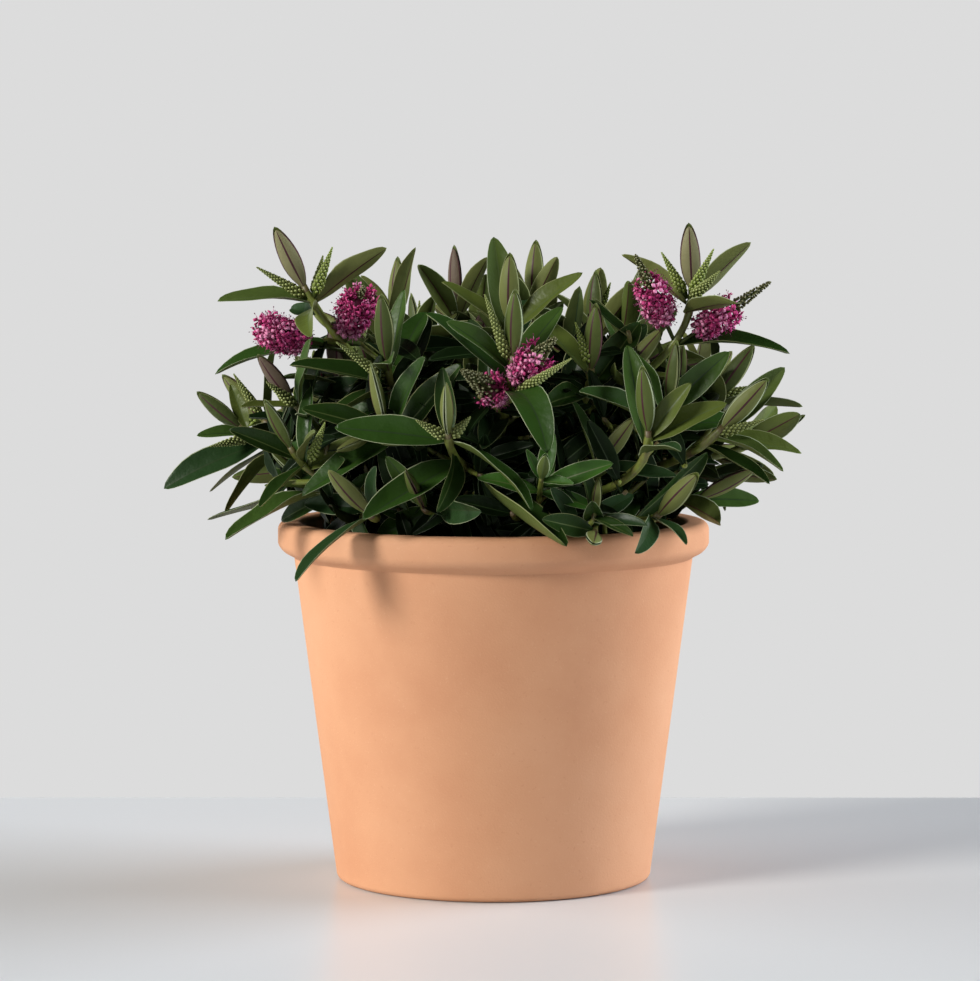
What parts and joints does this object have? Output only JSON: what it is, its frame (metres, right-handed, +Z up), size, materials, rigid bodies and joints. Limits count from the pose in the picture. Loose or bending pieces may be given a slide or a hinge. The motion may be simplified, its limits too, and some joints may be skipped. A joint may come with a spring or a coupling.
{
  "type": "flowering hebe shrub in a pot",
  "caption": "Evergreen flowering shrub with paired narrow leaves, green buds and magenta blossom, standing in a tapered terracotta pot with a rolled lip.",
  "frame": {"origin": "centre of the pot's flat underside", "axes": "+Z up, -Y the plant's front, +X its right-hand side seen from the front"},
  "size_m": [0.3552, 0.3114, 0.3657],
  "materials": {
    "terracotta": "matte, unglazed",
    "potting_mix": "crumbly, moist",
    "bark": "rough",
    "green_bark": "satin",
    "foliage": "semi-gloss",
    "blossom": "soft matte"
  },
  "bodies": {
    "root": {"pot": "terracotta", "potting_mix": "potting_mix", "trunk": "bark", "bough_left_low": "green_bark", "bough_front_right": "green_bark", "bough_back_right": "green_bark", "bough_back_left": "green_bark", "bough_front_left": "green_bark", "bough_right_low": "green_bark", "bough_back": "green_bark", "bough_left_high": "green_bark", "bough_right_high": "green_bark", "bough_centre": "green_bark", "foliage_top_left": "foliage", "foliage_left_centre": "foliage", "foliage_middle_left": "foliage", "foliage_low_left": "foliage", "foliage_front_left": "foliage", "foliage_front_centre": "foliage", "foliage_top_centre": "foliage", "foliage_front_low": "foliage", "foliage_front_right": "foliage", "foliage_right_centre": "foliage", "foliage_top_right": "foliage", "foliage_right": "foliage", "foliage_far_right": "foliage", "foliage_back_right_1": "foliage", "foliage_back_right_2": "foliage", "foliage_back_1": "foliage", "foliage_back_2": "foliage", "foliage_back_left_1": "foliage", "foliage_back_left_2": "foliage"}
  },
  "joints": []
}
